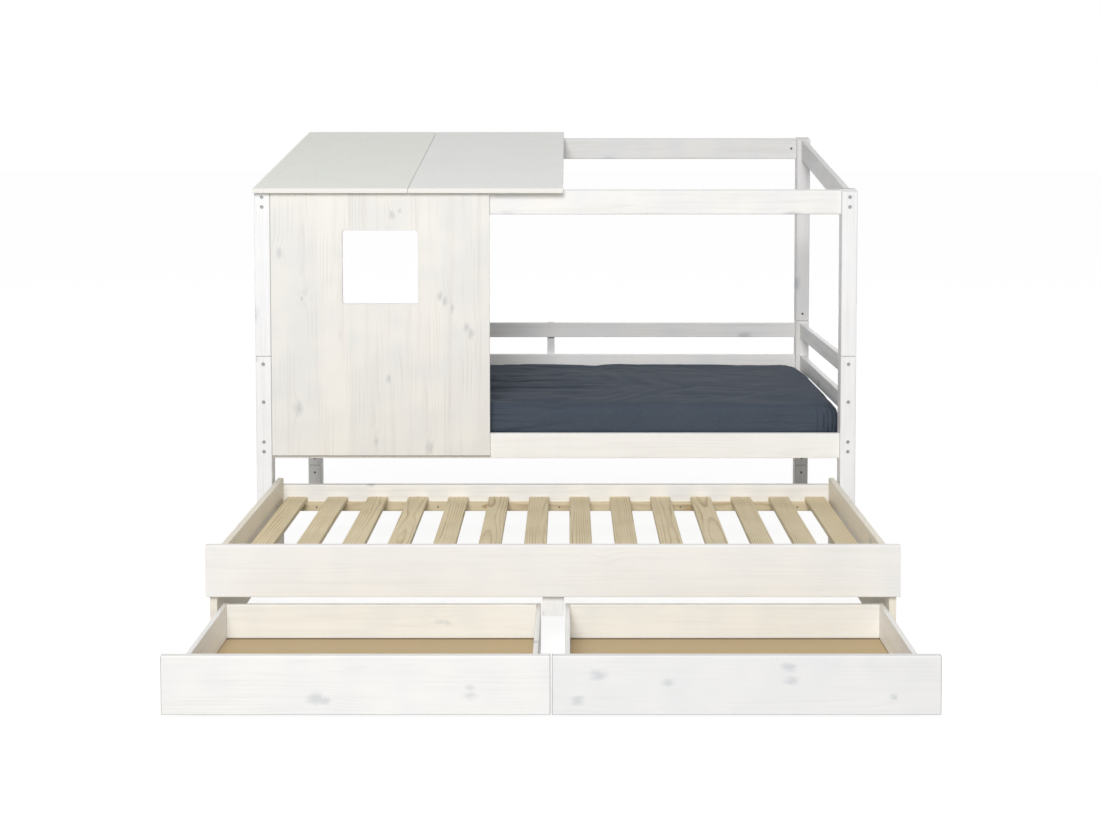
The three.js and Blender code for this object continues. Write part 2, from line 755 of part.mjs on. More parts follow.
function add_drawer(end) {
  const drawer = new THREE.Group();
  const faces = [
    { name: 'outer', x: end.side * drawer_outer, way: -end.side },
    { name: 'inner', x: end.side * drawer_inner, way: end.side },
  ];
  const inner_faces = span(...faces.map((face) => face.x + face.way * drawer_side_thickness));
  const floor_x = [inner_faces[0] - groove_depth, inner_faces[1] + groove_depth];
  const front_back = drawer_front_y + board;
  const front = timber('x', {
    x: span((end.side * drawer_front_gap) / 2, end.side * trundle_half),
    y: [drawer_front_y, front_back],
    z: [drawer_bottom, drawer_front_top],
  });
  const groove = drawer_floor_groove(
    [floor_x[0] - seat_gap, floor_x[1] + seat_gap],
    [front_back - groove_depth - seat_gap, front_back + overrun],
  );
  const back_bottom = drawer_floor_underside + drawer_floor_thickness + seat_gap;
  const back = timber('x', {
    x: [inner_faces[0] + seat_gap, inner_faces[1] - seat_gap],
    y: [drawer_back_y - drawer_side_thickness, drawer_back_y],
    z: [back_bottom, drawer_bottom + drawer_side_height],
  });
  const floor = new THREE.BoxGeometry(
    floor_x[1] - floor_x[0],
    drawer_back_y - front_back + groove_depth,
    drawer_floor_thickness,
  );
  floor.translate(
    (floor_x[0] + floor_x[1]) / 2,
    (drawer_back_y + front_back - groove_depth) / 2,
    drawer_floor_underside + drawer_floor_thickness / 2,
  );
  add(drawer, `drawer_front_${end.name}`, cut(front, [groove]), whitewash);
  add(drawer, `drawer_back_${end.name}`, back, whitewash);
  add(drawer, `drawer_floor_${end.name}`, floor, hardboard);
  for (const face of faces) {
    const inner = face.x + face.way * drawer_side_thickness;
    add(drawer, `drawer_${end.name}_${face.name}_side`, drawer_side(face.x, face.way), whitewash);
    ['front', 'back'].forEach((row, index) => {
      const turned = drawer_wheel(inner, face.way, drawer_wheel_places()[index]);
      add(drawer, `drawer_wheel_${end.name}_${face.name}_${row}`, turned, wheel_plastic);
    });
  }
  trundle.add(drawer);
}

for (const row of rows) {
  for (const end of ends) {
    add_post(end, row);
  }
}
add_long_rails();
add_end_rails();
add_batten();
add_wall_panel();
add_roof();
add_bed_inside();
add_trundle();
ends.forEach(add_drawer);
bed.add(trundle);

// The origin is on the floor, under the middle of the whole object as it stands here.
bed.position.y = -(drawer_front_y + roof_back_y) / 2;

export default bed;
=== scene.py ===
"""The looks of a house bed with a roll-out guest bed and two drawers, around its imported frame, in metres."""
import json
import math
import random

import bmesh
import bpy
from mathutils import Matrix, Vector, noise


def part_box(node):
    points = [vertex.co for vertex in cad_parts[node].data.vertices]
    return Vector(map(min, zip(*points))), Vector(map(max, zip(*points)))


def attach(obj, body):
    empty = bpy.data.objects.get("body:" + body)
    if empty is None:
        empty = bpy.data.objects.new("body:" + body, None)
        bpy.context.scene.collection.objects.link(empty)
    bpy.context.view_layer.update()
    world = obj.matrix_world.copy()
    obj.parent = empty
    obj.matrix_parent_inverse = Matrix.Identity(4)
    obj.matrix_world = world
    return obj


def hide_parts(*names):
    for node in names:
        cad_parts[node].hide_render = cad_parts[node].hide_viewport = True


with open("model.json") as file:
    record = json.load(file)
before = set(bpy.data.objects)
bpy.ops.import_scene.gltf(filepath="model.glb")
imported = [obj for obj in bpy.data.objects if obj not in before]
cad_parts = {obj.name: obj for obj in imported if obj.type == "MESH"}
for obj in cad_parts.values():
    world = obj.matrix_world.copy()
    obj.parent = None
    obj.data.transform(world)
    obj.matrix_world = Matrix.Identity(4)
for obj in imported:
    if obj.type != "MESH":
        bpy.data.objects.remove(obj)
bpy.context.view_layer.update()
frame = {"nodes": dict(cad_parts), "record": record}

ROWS = ("front", "back")
ENDS = ("left", "right")

# The camera, fitted to the photograph
CAMERA_PLACE = (0.04413, -4.528637, 1.45082)
CAMERA_TURN = (math.radians(87.5), 0, 0)
CAMERA_LENS = 44.5222
CAMERA_SHIFT = (-0.016977, -0.192388)

# The timber, as the part's source has it
LEDGER_WIDTH = 0.024
LEDGER_HEIGHT = 0.028
SLAT_COUNT = 14
SLAT_WIDTH = 0.070
SLAT_THICKNESS = 0.0175
LEDGER_END = 0.0137
LAST_PITCH_SHARES = {"trundle_slatted_base": (0.94, 0.9), "bed_slatted_base": ()}
SLAT_EASE = 0.003
STAVE_WIDTH = 0.108

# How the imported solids' triangles are merged into faces, and their edges eased
WELD_REACH = 0.00002
FLAT_ANGLE = math.radians(1)
EDGE_EASE = 0.0008
EASE_ANGLE = math.radians(40)

# The bolts in the posts and the nuts in the rails
BOLT_SPACING = 0.034
GUARD_BOLT_RISE = 0.013
HEAD_RADIUS = 0.0036
HEAD_SUNK = 0.0011
HEAD_HEIGHT = 0.0020
FLANGE_RADIUS = 0.0061
FLANGE_HEIGHT = 0.0007
SOCKET_RADIUS = 0.0018
SOCKET_DEPTH = 0.0018
NUT_RADIUS = 0.0048
NUT_SUNK = 0.0012
NUT_HEIGHT = 0.012
NUT_FROM_END = 0.022
CROSS_HOLE_FROM_JOINT = 0.030
FRONT_HEIGHT = 1.276
ROOF_PITCH = math.radians(10.9)
TOP_RAIL_HEIGHT = 0.082
SCREW_RADIUS = 0.0034
SCREW_PROUD = 0.0003
SLATS_PER_SCREW = 3
ROUND_SIDES = 32
HEAD_SIDES = 36
SCREW_SIDES = 16

# The mattress in its fitted sheet
MATTRESS_CORNER = 0.060
MATTRESS_EDGE = 0.034
MATTRESS_CROWN = 0.004
MATTRESS_DRAW_IN = 0.001
MATTRESS_MARGIN = 0.0005
MATTRESS_VOXEL = 0.015
MATTRESS_SIDE_STEPS = 24
MATTRESS_CORNER_STEPS = 10
MATTRESS_EDGE_STEPS = 6
CROWN_SHARES = (0.92, 0.8, 0.6, 0.4, 0.2)
CORNER_DROOP = 0.016
CORNER_REACH = (0.09, 0.25)
END_SWELL = 0.005
END_REACH = 0.12
HEM_HEIGHT = 0.02
WALL_EDGE = -0.23

# The sheet's threads and relief: the shading's folds, the creases and gathers, and the faint folds from
# which it settles
THREAD_SCALES = (60.0, 1500.0)
FOLD_SCALES = (2.4, 36.0)
FOLD_HEIGHT = 0.0022
CREASE_NAME = "crease"
CREASE_HEIGHT = 0.0045
GATHER_HEIGHT = 0.0030
GATHER_REACH = 0.05
GATHER_TURNS = 18
LONG_FOLD = 0.0026
FINE_FOLD = 0.0011
DRIFT = 0.0012
RIDGE = 0.0010
FOLD_LEVEL = 0.001

# The sheet's simulation: how slack it is, how softly the foam holds it, and how far a point may move
SHEET_SLACK = 0.009
SLACK_SHARE = 0.35
HEM_RANGE = (0.01, 0.05)
SLACK_RANGE = (WALL_EDGE + 0.6, WALL_EDGE + 0.1)
SHEET_QUALITY = 4
SHEET_MASS = 0.2
FOAM_HOLD = 0.03
FOAM_STIFFNESS = 0.3
SHEET_PRESSURE = 0.02
SHEET_BENDING = 0.02
SHEET_FRAMES = 20
SHEET_REACH = 0.006

# The studio: its sky, floor and soft lights
WHITE = (1, 1, 1, 1)
SKY_STRENGTH = 0.40
FLOOR_HALF = 60
FLOOR_DROP = 0.0005
FLOOR_BOUNCE = 0.55
FLOOR_SHADE = 0.22
FLOOR_GLOW = 0.90
LIGHTS = (
    ("key", (-0.7, -7.0, 4.4), (0, 0, 0.6), 3.0, 420),
    ("fill", (1.4, 7.5, 1.0), (0, 0, 0.7), 3.0, 70),
)


def linear(*levels):
    """A colour written as the eye sees it, from 0 to 255, as the light that it stands for."""
    shares = [level / 255 for level in levels]
    light = [share / 12.92 if share <= 0.04045 else ((share + 0.055) / 1.055) ** 2.4 for share in shares]
    return (*light, 1)


class Nodes:
    """The nodes of a material or a world, added and linked with short calls."""

    def __init__(self, owner):
        owner.use_nodes = True
        self.tree = owner.node_tree
        self.tree.nodes.clear()

    def put(self, socket, value):
        if isinstance(value, bpy.types.NodeSocket):
            self.tree.links.new(value, socket)
        else:
            socket.default_value = value

    def add(self, kind, settings=None, inputs=None):
        node = self.tree.nodes.new(kind)
        for name, value in (settings or {}).items():
            setattr(node, name, value)
        for name, value in (inputs or {}).items():
            self.put(node.inputs[name], value)
        return node

    def sum(self, operation, *terms):
        """The result of one Math node."""
        inputs = dict(enumerate(terms))
        return self.add("ShaderNodeMath", {"operation": operation}, inputs).outputs[0]

    def mix_shaders(self, share, first, second):
        return self.add("ShaderNodeMixShader", None, {0: share, 1: first, 2: second}).outputs[0]

    def seen(self):
        """1 for rays from the camera, reflections and glass, and 0 for the light that falls on the object."""
        rays = self.add("ShaderNodeLightPath").outputs
        share = self.sum("MAXIMUM", rays["Is Camera Ray"], rays["Is Glossy Ray"])
        return self.sum("MAXIMUM", share, rays["Is Transmission Ray"])


class Shader(Nodes):
    """The nodes of a material, which know their place on the object."""

    def __init__(self, name):
        self.material = bpy.data.materials.new(name)
        super().__init__(self.material)
        self.where = self.add("ShaderNodeTexCoord").outputs["Object"]

    def vector(self, *parts):
        return self.add("ShaderNodeCombineXYZ", None, dict(enumerate(parts))).outputs[0]

    def stretched(self, places, scales):
        """A place whose three parts are each multiplied by a scale."""
        return self.vector(*(self.sum("MULTIPLY", place, scale) for place, scale in zip(places, scales)))

    def noise(self, place, scale=1.0, detail=2.0, rough=0.5):
        inputs = {"Vector": place, "Scale": scale, "Detail": detail, "Roughness": rough}
        return self.add("ShaderNodeTexNoise", None, inputs).outputs["Fac"]

    def smooth(self, value, start, stop, low=0.0, high=1.0):
        """A smooth climb from low to high while the value goes from start to stop."""
        settings = {"interpolation_type": "SMOOTHSTEP"}
        inputs = {"Value": value, "From Min": start, "From Max": stop, "To Min": low, "To Max": high}
        return self.add("ShaderNodeMapRange", settings, inputs).outputs["Result"]

    def mix(self, share, first, second, blend="MIX"):
        settings = {"data_type": "RGBA", "blend_type": blend}
        node = self.add("ShaderNodeMix", settings, {0: share, 6: first, 7: second})
        return node.outputs[2]

    def bump(self, height, strength, distance, under=None):
        inputs = {"Height": height, "Strength": strength, "Distance": distance}
        if under:
            inputs["Normal"] = under
        return self.add("ShaderNodeBump", None, inputs).outputs["Normal"]

    def surface(self, **inputs):
        """Ends the tree in a Principled shader with these inputs, underscores standing for spaces."""
        named = {name.replace("_", " "): value for name, value in inputs.items()}
        shader = self.add("ShaderNodeBsdfPrincipled", None, named)
        self.add("ShaderNodeOutputMaterial", None, {"Surface": shader.outputs["BSDF"]})
        return self.material


# How each kind of timber shows its grain, its soft streaks and its knots, and the painted light and shade that
# some washes carry
WHITEWASH = {
    "light": linear(249, 247, 243), "cool": linear(242, 242, 242), "shade": linear(229, 226, 220),
    "line": linear(214, 210, 202), "knot": linear(184, 188, 192), "streaks": 0.5, "lines": 0.2,
    "plain": 0.0, "line_from": 0.45, "ring": 0.0085, "pith": 0.05, "knots_over": 0.55, "knots": 0.6,
    "knot_size": 0.021, "knot_core": 0.1, "rough": 0.46, "streak_run": 2.2, "streak_width": 62.0,
}
WALL_WASH = {
    **WHITEWASH,
    "light": linear(244, 241, 235), "cool": linear(235, 234, 231), "shade": linear(222, 216, 211),
    "streaks": 0.5, "streak_run": 1.1, "streak_width": 26.0, "lines": 0.4, "knots": 0.5,
    # Painted shade along the wall panel's left and bottom edges, for the shadow beside the post and along its
    # foot
    "shaded_edges": (("x", 1), ("z", 1)), "rim": 0.5,
}
# Painted shade at both ends of each post piece, a thin dark line for the shadow in the joints between them
BACK_POST_WASH = {**WHITEWASH, "shaded_edges": (("z", 1), ("z", -1)), "rim": 0.7}
# Painted shade: a darker copy of the back posts' wash for their upper pieces, for the shade that falls on them
UPPER_BACK_POST_SHADED_WASH = {
    **BACK_POST_WASH,
    "light": linear(239, 237, 235), "cool": linear(232, 231, 233), "shade": linear(220, 217, 213),
}
POST_WASH = {
    **BACK_POST_WASH, "light": linear(250, 250, 250), "cool": linear(247, 247, 249), "streaks": 0.35,
}
# Lighter and less yellow than the plain wash: the cooler tone is the front rail's own, and the extra lightness
# is painted light from the lamps in front
FRONT_RAIL_LIT_WASH = {
    **WHITEWASH,
    "light": linear(253, 252, 249), "cool": linear(250, 249, 246), "shade": linear(239, 237, 232),
    "streaks": 0.35,
}
# Painted shade: a darker copy of the plain wash for the back top rail and the sloping end rails, for the shade
# on them
TOP_RAILS_SHADED_WASH = {
    **WHITEWASH,
    "light": linear(236, 235, 232), "cool": linear(230, 230, 231), "shade": linear(218, 216, 211),
}
FRONT_WASH = {
    **WHITEWASH,
    "light": linear(243, 241, 237), "cool": linear(238, 237, 235), "shade": linear(228, 225, 219),
    "streaks": 0.3, "lines": 0.16, "knots": 0.0,
}
DRAWER_WASH = {
    **WHITEWASH,
    "light": linear(240, 239, 236), "cool": linear(235, 234, 233), "shade": linear(226, 225, 224),
    # Painted shade along the drawer front's sides and bottom edge, for the shadow there
    "streaks": 0.35, "lines": 0.24, "knots": 0.5, "shaded_edges": (("x", 1), ("x", -1), ("z", 1)), "rim": 0.65,
}
# Painted shade: the right drawer's front is a darker copy of the left one's, as the light falls from the left
RIGHT_DRAWER_SHADED_WASH = {**DRAWER_WASH, "light": linear(236, 235, 233), "cool": linear(230, 230, 230)}
DRAWER_BACK_WASH = {
    **WHITEWASH, "light": linear(243, 242, 237), "cool": linear(236, 236, 233), "knots": 0.35,
}
SIDE_WASH = {**WHITEWASH, "light": linear(243, 235, 218), "cool": linear(236, 229, 214)}
ROOF_WASH = {
    **WHITEWASH,
    "light": linear(243, 244, 236), "cool": linear(240, 242, 235), "shade": linear(238, 238, 231),
    # Painted light: the roof's forward-facing edge is lighter, for the lamps in front
    "lines": 0.03, "knots": 0.0, "rough": 0.5, "painted_front_light": linear(249, 247, 241),
}
RIGHT_ROOF_WASH = {**ROOF_WASH, "light": linear(244, 244, 241), "cool": linear(242, 242, 241)}
RAW = {
    "light": linear(232, 217, 184), "cool": linear(221, 207, 174), "shade": linear(210, 191, 153),
    "line": linear(166, 135, 88), "knot": linear(150, 118, 74), "streaks": 0.5, "lines": 0.75,
    "plain": 0.3, "line_from": 0.6, "ring": 0.0062, "pith": 0.09, "knots_over": 0.66, "knots": 0.7,
    "knot_size": 0.012, "knot_core": 0.6, "rough": 0.6, "streak_run": 2.2, "streak_width": 62.0,
}

# The knots of the boards that face the camera, each with its share of the board's length along the grain,
# its share of the width across it, and its size in metres
KNOT_SHARES = {
    "wall_panel": (
        (0.906, 0.556, 0.010), (0.926, 0.590, 0.007), (0.595, 0.140, 0.005), (0.600, 0.772, 0.011),
        (0.585, 0.796, 0.011), (0.557, 0.830, 0.009), (0.485, 0.895, 0.011), (0.466, 0.915, 0.012),
        (0.292, 0.536, 0.010), (0.180, 0.123, 0.017), (0.027, 0.724, 0.015), (0.057, 0.478, 0.009),
        (0.766, 0.039, 0.013),
    ),
    "drawer_back_left": ((0.690, 0.500, 0.011), (0.712, 0.455, 0.010)),
    "drawer_front_left": (
        (0.400, 0.270, 0.018), (0.420, 0.245, 0.012), (0.793, 0.465, 0.009), (0.793, 0.335, 0.011),
    ),
    "drawer_front_right": (
        (0.120, 0.680, 0.015), (0.297, 0.550, 0.011), (0.608, 0.810, 0.014), (0.617, 0.595, 0.013),
        (0.880, 0.310, 0.008), (0.067, 0.250, 0.012),
    ),
}
KNOT_CELL = 0.21
KNOT_STRETCH = 1.7
KNOT_REACH = 0.024
KNOT_PUSH = 0.009
PITH_DEPTHS = (0.035, 0.06)
FIBRE_SCALES = (18.0, 620.0, 620.0)
SWAY_SCALES = (1.6, 6.0)
SWAY_HEIGHT = 0.030
WAVER_SCALES = (9.0, 30.0)
WAVER_HEIGHT = 0.0022
# Painted shade along chosen board edges: the width of its dark line, and its colour
EDGE_SHADE_WIDTH = 0.0022
EDGE_SHADE_COLOUR = linear(96, 94, 90)


def chance_knots(shader, along, across, look):
    """How near a place is to a knot, where a few of the cells of a wide Voronoi pattern hold one."""
    spot = shader.vector(shader.sum("DIVIDE", along, KNOT_STRETCH), across, 0.0)
    settings = {"voronoi_dimensions": "2D"}
    cells = shader.add("ShaderNodeTexVoronoi", settings, {"Vector": spot, "Scale": 1 / KNOT_CELL})
    chances = shader.add("ShaderNodeSeparateColor", None, {0: cells.outputs["Color"]})
    has_knot = shader.sum("GREATER_THAN", chances.outputs[0], look["knots_over"])
    size = shader.sum("MULTIPLY_ADD", chances.outputs[1], look["knot_size"] * 0.7, look["knot_size"] * 0.4)
    reach = shader.sum("MULTIPLY", cells.outputs["Distance"], KNOT_CELL)
    return reach, size, has_knot


def placed_knots(shader, along, across, knots):
    """How near a place is to the nearest of the knots that are given as their places and sizes."""
    nearest, size = None, None
    for knot_along, knot_across, knot_size in knots:
        run = shader.sum("DIVIDE", shader.sum("SUBTRACT", along, knot_along), KNOT_STRETCH)
        rise = shader.sum("SUBTRACT", across, knot_across)
        reach = shader.sum("SQRT", shader.sum("MULTIPLY_ADD", run, run, shader.sum("MULTIPLY", rise, rise)))
        if nearest is None:
            nearest, size = reach, knot_size
            continue
        closer = shader.sum("LESS_THAN", reach, nearest)
        size = shader.sum("MULTIPLY_ADD", closer, shader.sum("SUBTRACT", knot_size, size), size)
        nearest = shader.sum("MINIMUM", nearest, reach)
    return nearest, size, 1.0


def paint_edge_shade(shader, colour, places, look, low, high):
    """Painted shade: a thin dark line along the edges where a board meets the next one, for the shadow that
    falls there.
    """
    for axis, way in look.get("shaded_edges", ()):
        index = "xyz".index(axis)
        edge = low[index] if way > 0 else high[index]
        inside = shader.sum("MULTIPLY", shader.sum("SUBTRACT", places[index], edge), way)
        share = shader.smooth(inside, EDGE_SHADE_WIDTH, EDGE_SHADE_WIDTH / 2, 0.0, look["rim"])
        colour = shader.mix(share, colour, EDGE_SHADE_COLOUR)
    return colour


def pine(name, axes, seed, look, low, high, stave=None, knots=None):
    """Pine: growth rings round a pith that runs beside the board, wavering, and flowing round its knots.

    The axes are those along the grain, across the board's face and through its thickness."""
    draw = random.Random(seed)
    shader = Shader(name)
    split = shader.add("ShaderNodeSeparateXYZ", None, {0: shader.where})
    places = [split.outputs["xyz".index(axis)] for axis in axes]
    middle = [(low["xyz".index(axis)] + high["xyz".index(axis)]) / 2 for axis in axes]
    if knots:
        reach, size, has_knot = placed_knots(shader, places[0], places[1], knots)
    along = shader.sum("ADD", places[0], draw.uniform(2, 9))
    across = shader.sum("SUBTRACT", places[1], middle[1])
    deep = shader.sum("SUBTRACT", places[2], middle[2] + draw.choice((-1, 1)) * draw.uniform(*PITH_DEPTHS))
    tone = shader.noise(shader.vector(shader.sum("MULTIPLY", along, 1.2), across, deep), 7.0, 1.0)
    if stave:
        count = shader.sum("DIVIDE", across, stave)
        index = shader.sum("FLOOR", count)
        chance = shader.add("ShaderNodeTexWhiteNoise", {"noise_dimensions": "1D"}, {"W": index})
        chances = shader.add("ShaderNodeSeparateColor", None, {0: chance.outputs["Color"]})
        along = shader.sum("MULTIPLY_ADD", chances.outputs[0], 5.0, along)
        shift = shader.sum("SUBTRACT", chances.outputs[1], 0.5)
        across = shader.sum("MULTIPLY", shader.sum("SUBTRACT", shader.sum("FRACT", count), 0.5), stave)
        across = shader.sum("MULTIPLY_ADD", shift, stave, across)
        tone = shader.sum("MULTIPLY_ADD", shader.sum("SUBTRACT", chances.outputs[2], 0.5), 0.3, tone)
    else:
        across = shader.sum("ADD", across, draw.uniform(-look["pith"], look["pith"]))
    sway = shader.stretched((along, across), SWAY_SCALES)
    waver = shader.stretched((along, across), WAVER_SCALES)

    if not knots:
        reach, size, has_knot = chance_knots(shader, along, across, look)
    ragged = shader.sum("MULTIPLY_ADD", shader.sum("SUBTRACT", shader.noise(waver, 3.0), 0.5), 0.02, reach)
    knot = shader.smooth(shader.sum("DIVIDE", ragged, size), 1.3, look["knot_core"])
    knot = shader.sum("MULTIPLY", knot, has_knot)
    near = shader.sum("DIVIDE", reach, KNOT_REACH)
    push = shader.sum("POWER", math.e, shader.sum("MULTIPLY", shader.sum("MULTIPLY", near, near), -1.0))
    push = shader.sum("MULTIPLY", shader.sum("MULTIPLY", push, has_knot), KNOT_PUSH)

    deep_square = shader.sum("MULTIPLY", deep, deep)
    radius = shader.sum("SQRT", shader.sum("MULTIPLY_ADD", across, across, deep_square))
    radius = shader.sum("MULTIPLY_ADD", shader.noise(sway), SWAY_HEIGHT, radius)
    radius = shader.sum("MULTIPLY_ADD", shader.noise(waver), WAVER_HEIGHT, radius)
    radius = shader.sum("ADD", radius, push)
    turn = shader.sum("FRACT", shader.sum("DIVIDE", radius, look["ring"]))
    climb, fall = shader.smooth(turn, look["line_from"], 0.9), shader.smooth(turn, 1.0, 0.93)
    late = shader.sum("MULTIPLY", climb, fall)
    fibre_place = shader.stretched((along, across, deep), FIBRE_SCALES)
    fibre = shader.noise(fibre_place, 1.0, 3.0)
    strength = shader.noise(sway, 2.3)
    grain = shader.sum("MULTIPLY", late, shader.smooth(strength, 0.4, 0.7, look["plain"], 1.0))
    grain = shader.sum("MULTIPLY_ADD", shader.sum("SUBTRACT", fibre, 0.5), 0.5, grain)
    grain = shader.sum("MULTIPLY", grain, look["lines"])
    share = shader.add("ShaderNodeClamp", None, {0: grain}).outputs[0]
    streak_scales = (look["streak_run"], look["streak_width"], look["streak_width"])
    streak = shader.noise(shader.stretched((along, across, deep), streak_scales), 1.0, 3.0, 0.6)

    colour = shader.mix(shader.smooth(tone, 0.25, 0.8), look["light"], look["cool"])
    colour = shader.mix(shader.smooth(streak, 0.46, 0.74, 0.0, look["streaks"]), colour, look["shade"])
    colour = shader.mix(share, colour, look["line"])
    colour = shader.mix(shader.sum("MULTIPLY", knot, look["knots"]), colour, look["knot"])
    # Painted light: faces that look forward take a lighter colour, for the light of the lamps in front
    if "painted_front_light" in look:
        facing = shader.add("ShaderNodeTexCoord").outputs["Normal"]
        front = shader.add("ShaderNodeSeparateXYZ", None, {0: facing}).outputs[1]
        colour = shader.mix(shader.smooth(front, -0.3, -0.8), colour, look["painted_front_light"])
    # Painted shade: thin dark lines along the board's chosen edges, for the shadow there
    colour = paint_edge_shade(shader, colour, split.outputs, look, low, high)
    height = shader.sum("MULTIPLY_ADD", late, -0.35, fibre)
    return shader.surface(
        Base_Color=colour,
        Roughness=shader.smooth(fibre, 0.2, 0.8, look["rough"] - 0.06, look["rough"] + 0.09),
        Specular_IOR_Level=0.4,
        Normal=shader.bump(height, 0.25, 0.0006),
    )


def hardboard(name, low, high):
    """Smooth brown board of pressed fibres, with painted shade along the edges that lie in the grooves."""
    shader = Shader(f"hardboard_{name}")
    fibres = shader.noise(shader.where, 900.0, 4.0, 0.7)
    cloud = shader.noise(shader.where, 9.0, 2.0)
    colour = shader.mix(shader.smooth(fibres, 0.3, 0.75), linear(201, 180, 142), linear(180, 156, 116))
    colour = shader.mix(shader.smooth(cloud, 0.3, 0.9, 0.0, 0.35), colour, linear(194, 176, 144))
    x, y, z = shader.add("ShaderNodeSeparateXYZ", None, {0: shader.where}).outputs
    back, right, left = (
        shader.sum("SUBTRACT", high.y, y),
        shader.sum("SUBTRACT", high.x, x),
        shader.sum("SUBTRACT", x, low.x),
    )
    side = shader.sum("MINIMUM", right, left)
    # Painted shade: darker towards the back edge, with a thin dark line along the back and both sides, for the
    # shadow where the board runs into the grooves
    colour = shader.mix(shader.smooth(back, 0.09, 0.02, 0.0, 0.25), colour, linear(150, 128, 94))
    colour = shader.mix(shader.smooth(back, 0.024, 0.020, 0.0, 0.6), colour, linear(92, 74, 50))
    colour = shader.mix(shader.smooth(side, 0.009, 0.006, 0.0, 0.6), colour, linear(92, 74, 50))
    return shader.surface(
        Base_Color=colour,
        Roughness=shader.smooth(fibres, 0.0, 1.0, 0.5, 0.7),
        Normal=shader.bump(fibres, 0.3, 0.0003),
    )


def nylon():
    """Moulded grey nylon, faintly mottled."""
    shader = Shader("wheel_nylon")
    mottle = shader.noise(shader.where, 400.0, 3.0)
    colour = shader.mix(mottle, linear(122, 124, 125), linear(150, 151, 150))
    return shader.surface(
        Base_Color=colour,
        Roughness=shader.smooth(mottle, 0.2, 0.8, 0.38, 0.5),
        Normal=shader.bump(mottle, 0.2, 0.0002),
    )


def steel(name, bright, dark, rough):
    """Zinc-plated steel with a cloudy sheen."""
    shader = Shader(name)
    cloud = shader.noise(shader.where, 260.0, 3.0)
    fine = shader.noise(shader.where, 1500.0, 2.0)
    return shader.surface(
        Base_Color=shader.mix(cloud, bright, dark),
        Metallic=1.0,
        Roughness=shader.smooth(cloud, 0.2, 0.8, rough - 0.08, rough + 0.1),
        Normal=shader.bump(fine, 0.15, 0.0001),
    )


def sheet_cloth():
    """Dark slate-blue cotton: fine threads both ways, slubs, a little sheen, and painted shade in its creases.
    """
    shader = Shader("slate_cotton")
    split = shader.add("ShaderNodeSeparateXYZ", None, {0: shader.where})
    x, y, z = split.outputs
    side = shader.sum("ADD", y, z)
    warp = shader.noise(shader.stretched((x, side), THREAD_SCALES))
    weft = shader.noise(shader.stretched((x, side), reversed(THREAD_SCALES)))
    weave = shader.sum("MAXIMUM", warp, weft)
    cloud = shader.noise(shader.where, 5.0, 2.0)
    colour = shader.mix(shader.smooth(weave, 0.4, 0.8), linear(66, 74, 86), linear(84, 93, 105))
    colour = shader.mix(shader.smooth(cloud, 0.3, 0.8, 0.0, 0.3), colour, linear(84, 90, 99))
    fold = shader.noise(shader.stretched((x, side), FOLD_SCALES), 1.0, 2.0, 0.45)
    crest = shader.sum("ABSOLUTE", shader.sum("SUBTRACT", fold, 0.5))
    patch = shader.smooth(shader.noise(shader.vector(x, y, z), 2.6, 1.0), 0.42, 0.6, 0.12, 0.6)
    by_wall = shader.smooth(x, WALL_EDGE + 0.28, WALL_EDGE, 0.0, 1.0)
    creased = shader.sum("MAXIMUM", patch, by_wall)
    folds = shader.sum("MULTIPLY", shader.smooth(crest, 0.12, 0.0), creased)
    pressed = shader.bump(folds, 0.9, FOLD_HEIGHT)
    crease_depth = shader.add("ShaderNodeAttribute", {"attribute_name": CREASE_NAME}).outputs["Fac"]
    # Painted shade in the creases and gathers: the deeper a point lies in one, the darker its colour
    colour = shader.mix(shader.smooth(crease_depth, 0.05, 0.9, 0.0, 0.55), colour, linear(30, 34, 42))
    return shader.surface(
        Base_Color=colour,
        Roughness=shader.smooth(weave, 0.2, 0.8, 0.78, 0.9),
        Specular_IOR_Level=0.12,
        Sheen_Weight=0.03,
        Sheen_Roughness=0.5,
        Normal=shader.bump(weave, 0.3, 0.0004, pressed),
    )


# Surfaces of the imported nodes: what each kind of board is cut from, and which way its grain runs
GRAINS = (
    (("front_side_rail", "back_side_rail", "front_top_rail", "back_top_rail"), "xzy"),
    (("lower_guard_back", "upper_guard_back", "trundle_front", "trundle_back"), "xzy"),
    (("drawer_front", "drawer_back"), "xzy"),
    (("end_rail", "lower_guard", "upper_guard", "top_end_rail", "trundle_side"), "yzx"),
    (("drawer_left", "drawer_right"), "yzx"),
    (("drawer_guide",), "yxz"),
    (("foot", "lower_post", "upper_post", "guard_batten"), "zxy"),
)


def grain_of(node):
    for names, axes in GRAINS:
        if any(node == name or node.startswith(name + "_") for name in names):
            return axes
    raise ValueError(f"no grain is given for {node}")


WASHES = (
    (("drawer_front_left",), DRAWER_WASH),
    (("drawer_front_right",), RIGHT_DRAWER_SHADED_WASH),
    (("drawer_back",), DRAWER_BACK_WASH),
    (("front_side_rail",), FRONT_RAIL_LIT_WASH),
    (("back_top_rail", "top_end_rail"), TOP_RAILS_SHADED_WASH),
    (("trundle_side",), SIDE_WASH),
    (("trundle_front",), FRONT_WASH),
    (("foot_front", "lower_post_front", "upper_post_front"), POST_WASH),
    (("upper_post",), UPPER_BACK_POST_SHADED_WASH),
    (("foot", "lower_post"), BACK_POST_WASH),
)


def wash_of(node):
    """The wash on a board: coolest on the front posts, creamy and thin on the guest bed's sides, and darker or
    lighter on a few boards as painted shade or painted light.
    """
    for names, look in WASHES:
        if node.startswith(names):
            return look
    return WHITEWASH


